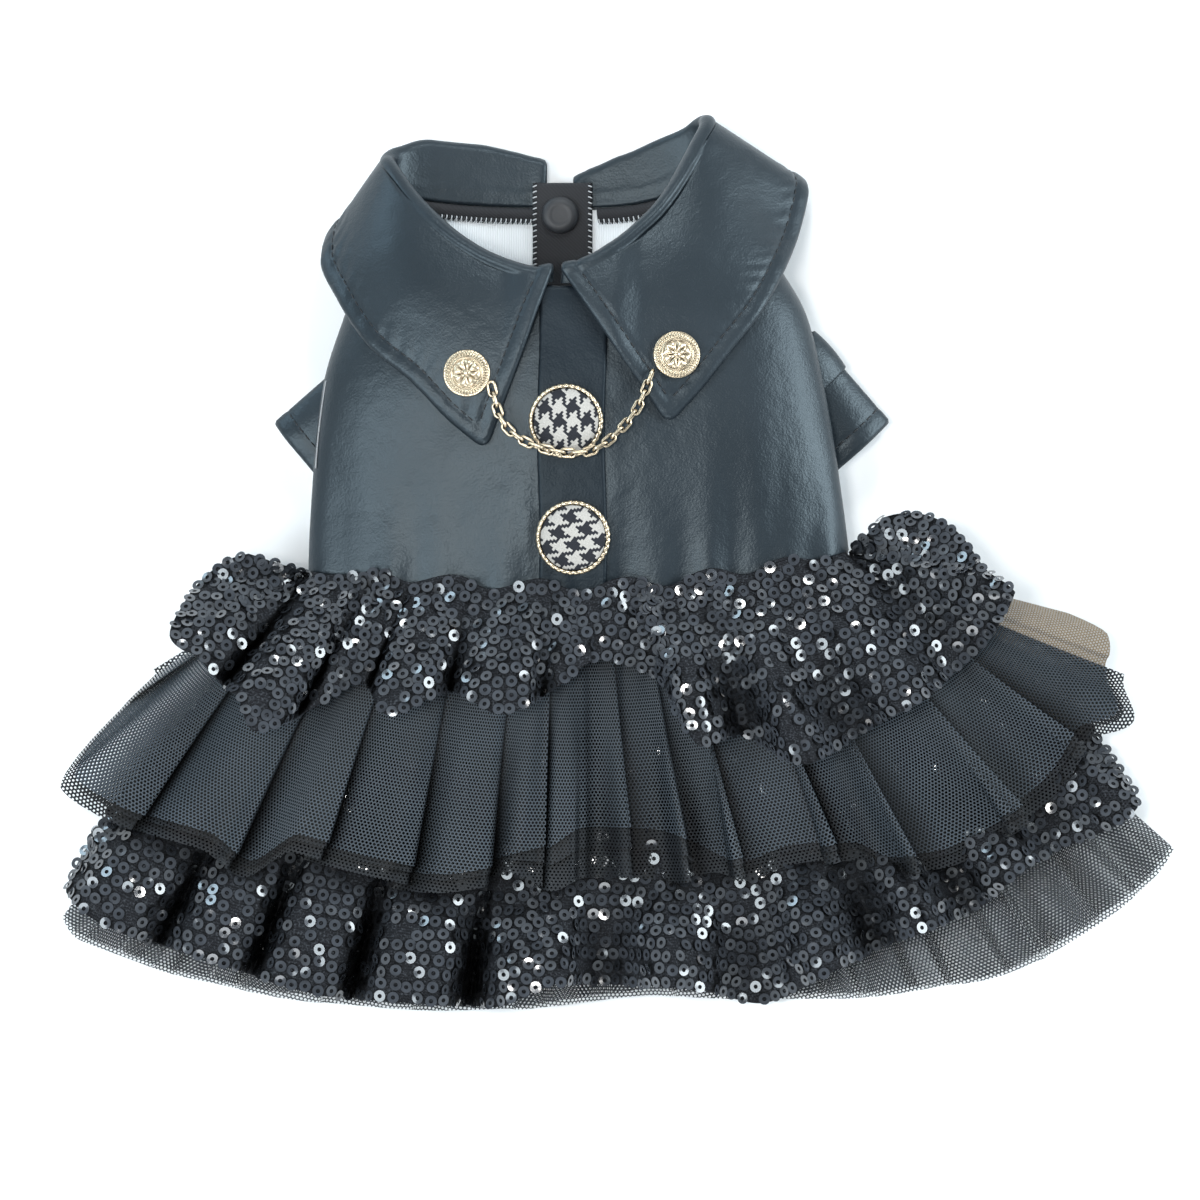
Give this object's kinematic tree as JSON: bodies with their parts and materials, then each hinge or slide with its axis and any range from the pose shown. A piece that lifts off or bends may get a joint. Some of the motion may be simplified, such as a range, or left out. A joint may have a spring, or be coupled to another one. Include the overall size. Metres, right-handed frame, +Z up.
{
  "type": "dog dress",
  "caption": "Small-dog dress lying flat: black leather bodice with a pointed collar, gold chain and houndstooth buttons, over a skirt of sequin and tulle ruffles.",
  "frame": {"origin": "bottom centre of the bounding box, on the surface that the dress lies on", "axes": "+Y from the skirt's hem to the neck, +X across the dress to the viewer's right from above, +Z up through the decorated back"},
  "size_m": [0.3582, 0.287, 0.0493],
  "materials": {
    "leather": "charcoal imitation leather, fine grain, semi-gloss",
    "black_cloth": "matte black woven tape with serged edges",
    "snap_plastic": "matte black",
    "houndstooth_cloth": "woven houndstooth in black and off-white",
    "pale_gold": "polished pale gold plating",
    "sequin_net": "black net covered with glossy ring sequins",
    "tulle": "black hexagonal net, see-through"
  },
  "bodies": {
    "root": {"back_panel": "leather", "belly_panel_left": "leather", "belly_panel_right": "leather", "placket": "leather", "collar_left": "leather", "collar_right": "leather", "sleeve_left": "leather", "sleeve_right": "leather", "closing_strip": "black_cloth", "snap_cap": "snap_plastic", "cloth_button_upper": "houndstooth_cloth", "cloth_button_lower": "houndstooth_cloth", "button_rim_upper": "pale_gold", "button_rim_lower": "pale_gold", "gold_button_left": "pale_gold", "gold_button_right": "pale_gold", "collar_chain": "pale_gold", "sequin_ruffle_upper": "sequin_net", "sequin_ruffle_lower": "sequin_net", "tulle_ruffle_upper": "tulle", "tulle_ruffle_lower": "tulle"}
  },
  "joints": []
}
